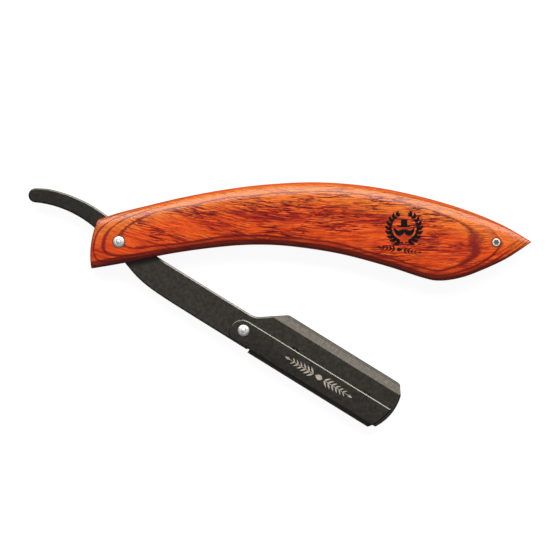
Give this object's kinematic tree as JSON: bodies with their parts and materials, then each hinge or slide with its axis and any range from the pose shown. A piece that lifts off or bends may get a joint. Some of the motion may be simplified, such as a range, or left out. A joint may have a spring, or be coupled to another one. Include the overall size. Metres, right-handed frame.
{
  "type": "straight razor",
  "caption": "Folding straight razor with a clamp for a replaceable half blade, crowned laminated wood scales, a dark steel arm with a curved tail, and a swinging lock cover.",
  "frame": {"origin": "centre of the bounding box's bottom: the razor lies flat on its rear scale, half open at the angle it is stored in", "axes": "+X along the handle from the pivot end to the pointed tip, +Y in the plane of the scales towards the side the tail rises to, +Z out of the front scale, along the pivot pin"},
  "size_m": [0.1712, 0.0832, 0.014],
  "materials": {
    "wood": "glossy clear lacquer over orange-red laminated wood with dark red grain",
    "gunmetal": "satin brown-black coated steel, flat faces fine and even, jaw bevel lighter",
    "bright_steel": "polished bare steel",
    "brass": "plain satin brass"
  },
  "bodies": {
    "handle": {"front_scale": "wood", "rear_scale": "wood", "tip_spacer": "wood", "tip_screw": "bright_steel", "tip_barrel_nut": "bright_steel", "pivot_pin": "bright_steel", "pivot_collar_front": "bright_steel", "pivot_collar_rear": "bright_steel", "pivot_washer_front": "brass", "pivot_washer_rear": "brass"},
    "arm": {"razor_arm": "gunmetal", "neck_pin": "bright_steel", "neck_collar_front": "bright_steel", "neck_collar_rear": "bright_steel"},
    "leaf": {"rear_leaf": "gunmetal", "locating_pin_heel": "bright_steel", "locating_pin_toe": "bright_steel"},
    "cover": {"swing_cover": "gunmetal"}
  },
  "joints": [
    {"name": "arm_swing", "type": "hinge", "parent": "handle", "child": "arm", "pos_m": [-0.0546, 0.02134, 0.007], "axis": [0, 0, 1], "range_deg": [-300, 31.9]},
    {"name": "cover_swing", "type": "hinge", "parent": "arm", "child": "cover", "pos_m": [-0.01231, -0.00877, 0.007], "axis": [0, 0, 1], "range_deg": [-88, 0]},
    {"name": "leaf_open", "type": "hinge", "parent": "arm", "child": "leaf", "pos_m": [-0.01231, -0.00877, 0.0062], "axis": [0.5255, 0.8508, 0], "range_deg": [0, 1]}
  ],
  "couplings": [
    {"joint": "leaf_open", "follows": "cover_swing", "ratio": -0.0113}
  ]
}
